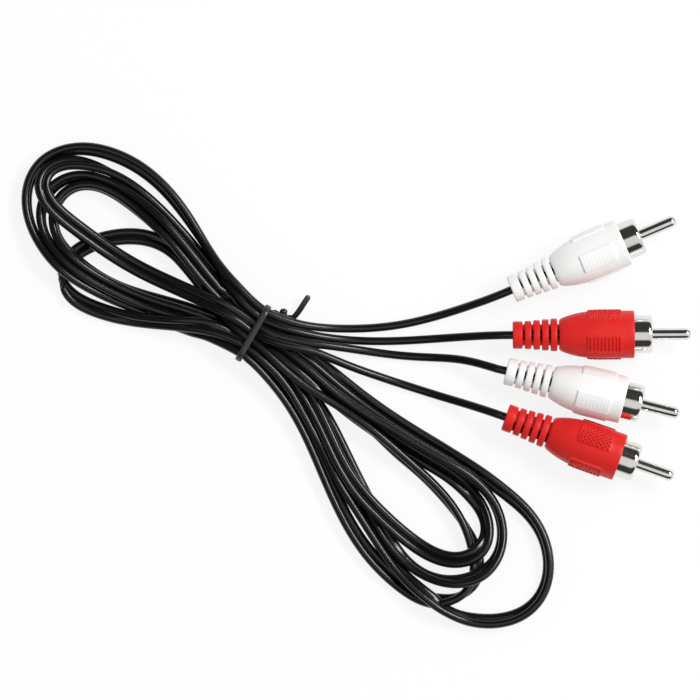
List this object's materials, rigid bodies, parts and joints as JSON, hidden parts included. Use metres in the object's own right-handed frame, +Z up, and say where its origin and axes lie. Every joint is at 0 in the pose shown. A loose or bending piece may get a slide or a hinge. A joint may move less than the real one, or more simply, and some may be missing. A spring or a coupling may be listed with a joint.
{
  "type": "stereo phono audio cable",
  "caption": "Black twin audio cord folded into two looped lobes and held by a wire tie, with white and red moulded phono plugs on its split ends.",
  "frame": {"origin": "on the table, under the middle of the box that holds the plugs and the wire tie", "axes": "+X from the wire tie towards the plugs, +Y to the side of the first white plug, +Z up from the table"},
  "size_m": [0.1758, 0.1273, 0.0133],
  "materials": {
    "white_moulding": "satin",
    "red_moulding": "satin",
    "nickel": "polished",
    "nylon": "satin",
    "copper": "bare",
    "cord": "satin",
    "tie": "satin"
  },
  "bodies": {
    "root": {"white_plug_1_body": "white_moulding", "white_plug_1_sleeve": "nickel", "white_plug_1_insulator": "nylon", "white_plug_1_pin": "nickel", "white_plug_1_core_wire": "copper", "white_plug_1_screen_wire": "copper", "white_cord_1": "cord", "red_plug_1_body": "red_moulding", "red_plug_1_sleeve": "nickel", "red_plug_1_insulator": "nylon", "red_plug_1_pin": "nickel", "red_plug_1_core_wire": "copper", "red_plug_1_screen_wire": "copper", "red_cord_1": "cord", "white_plug_2_body": "white_moulding", "white_plug_2_sleeve": "nickel", "white_plug_2_insulator": "nylon", "white_plug_2_pin": "nickel", "white_plug_2_core_wire": "copper", "white_plug_2_screen_wire": "copper", "white_cord_2": "cord", "red_plug_2_body": "red_moulding", "red_plug_2_sleeve": "nickel", "red_plug_2_insulator": "nylon", "red_plug_2_pin": "nickel", "red_plug_2_core_wire": "copper", "red_plug_2_screen_wire": "copper", "red_cord_2": "cord", "left_lobe": "cord", "right_lobe": "cord", "wire_tie": "tie"}
  },
  "joints": []
}
